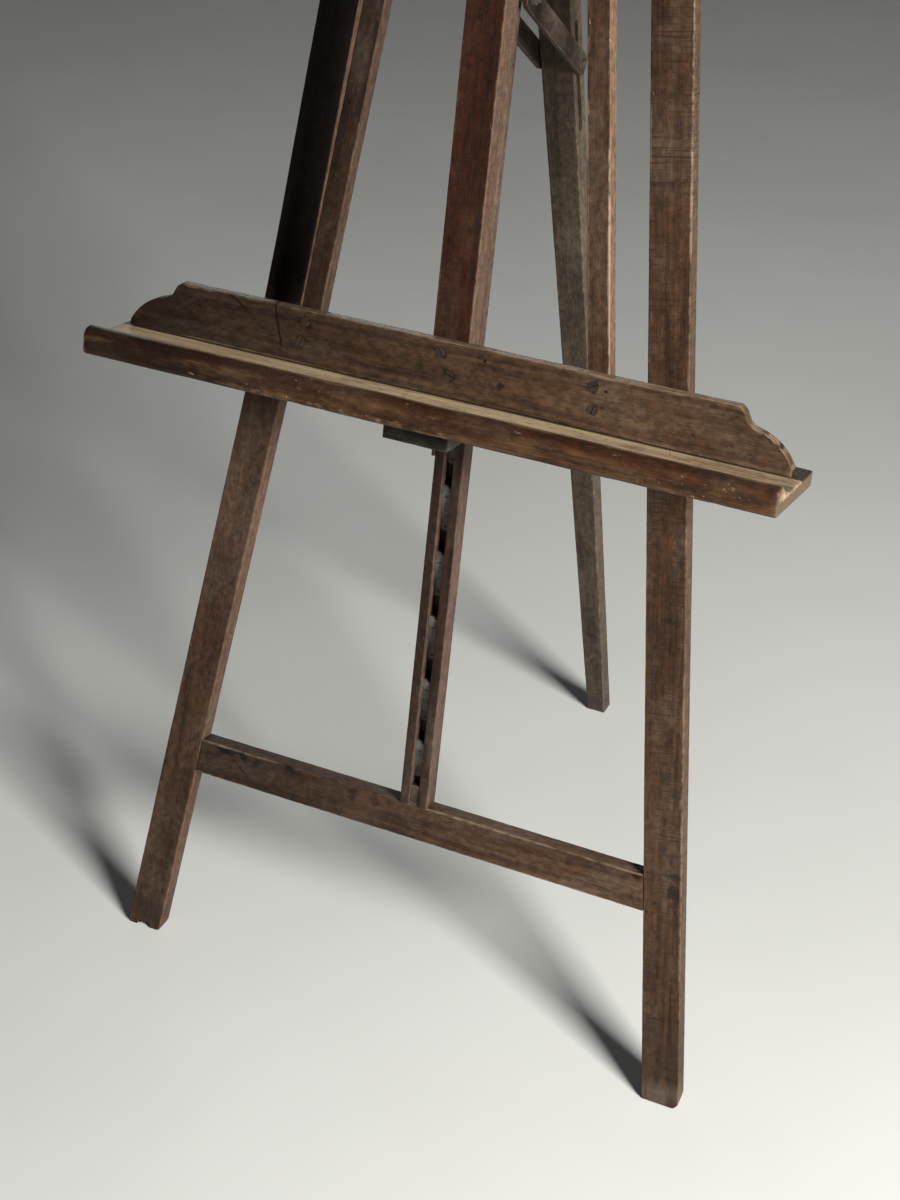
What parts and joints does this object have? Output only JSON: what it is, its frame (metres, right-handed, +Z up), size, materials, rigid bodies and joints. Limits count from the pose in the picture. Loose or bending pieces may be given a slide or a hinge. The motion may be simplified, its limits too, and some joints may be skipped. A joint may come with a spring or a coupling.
{
  "type": "studio easel",
  "caption": "Old wooden studio easel: leaning front frame, slotted mast with a metal-faced rack, sliding canvas tray, and a hinged rear leg held by a pair of stays.",
  "frame": {"origin": "on the floor, midway across the easel and midway between the front and rear edges of its footprint", "axes": "+X to the viewer's right when facing the tray, -Y towards the viewer, +Z up"},
  "size_m": [0.6963, 0.6426, 1.9281],
  "materials": {
    "dark_wood": "old dark reddish-brown stain, dusty and worn through at the edges",
    "worn_wood": "bare light tan where canvases have rubbed, dark stained nose",
    "grey_wood": "dry weathered greyish brown",
    "rack_metal": "dull pitted zinc grey",
    "hinge_metal": "aged dark steel",
    "screw_steel": "aged slotted steel"
  },
  "bodies": {
    "frame": {"left_leg": "dark_wood", "right_leg": "dark_wood", "bottom_stretcher": "dark_wood", "stretcher_pegs": "dark_wood", "left_rail": "dark_wood", "right_rail": "dark_wood", "rack_strip": "dark_wood", "mast_foot_filler": "dark_wood", "mast_top_spacer": "dark_wood", "rack_plates": "rack_metal", "rack_plate_screws": "screw_steel", "hinge_crossbar": "dark_wood", "head_block": "dark_wood", "leg_screws": "screw_steel", "mast_screws": "screw_steel", "hinge_leaf_frame": "hinge_metal", "hinge_screws_frame": "screw_steel", "hinge_pin": "hinge_metal", "stay_bolt": "screw_steel", "stay_nut": "screw_steel", "stay_sleeves": "hinge_metal"},
    "rear_leg": {"rear_leg": "grey_wood", "hinge_leaf_leg": "hinge_metal", "hinge_screws_leg": "screw_steel"},
    "stays": {"left_stay": "grey_wood", "right_stay": "grey_wood", "slot_pin": "screw_steel"},
    "tray_frame": {"centre_board": "dark_wood", "left_guide_strip": "dark_wood", "right_guide_strip": "dark_wood", "left_slat": "dark_wood", "right_slat": "dark_wood", "backboard": "dark_wood", "ledge": "worn_wood", "ledge_block": "grey_wood", "backboard_screws": "screw_steel", "slat_screws": "screw_steel", "ledge_screws": "screw_steel", "block_screws": "screw_steel", "pawl_pin": "screw_steel"},
    "pawl": {"pawl": "hinge_metal"}
  },
  "joints": [
    {"name": "rear_leg_hinge", "type": "hinge", "parent": "frame", "child": "rear_leg", "pos_m": [0, -0.05718, 1.21155], "axis": [1, 0, 0], "range_deg": [-27, 8]},
    {"name": "stay_pivot", "type": "hinge", "parent": "frame", "child": "stays", "pos_m": [0, -0.10988, 1.05037], "axis": [1, 0, 0], "range_deg": [-54.5, 16.4]},
    {"name": "tray_slide", "type": "slide", "parent": "frame", "child": "tray_frame", "axis": [0, 0.1762, 0.9843], "range_m": [-0.35, 0.49]},
    {"name": "pawl_pivot", "type": "hinge", "parent": "tray_frame", "child": "pawl", "pos_m": [0, -0.19071, 0.73224], "axis": [-1, 0, 0], "range_deg": [0, 12]}
  ],
  "couplings": [
    {"joint": "stay_pivot", "follows": "rear_leg_hinge", "ratio": 2.006}
  ]
}
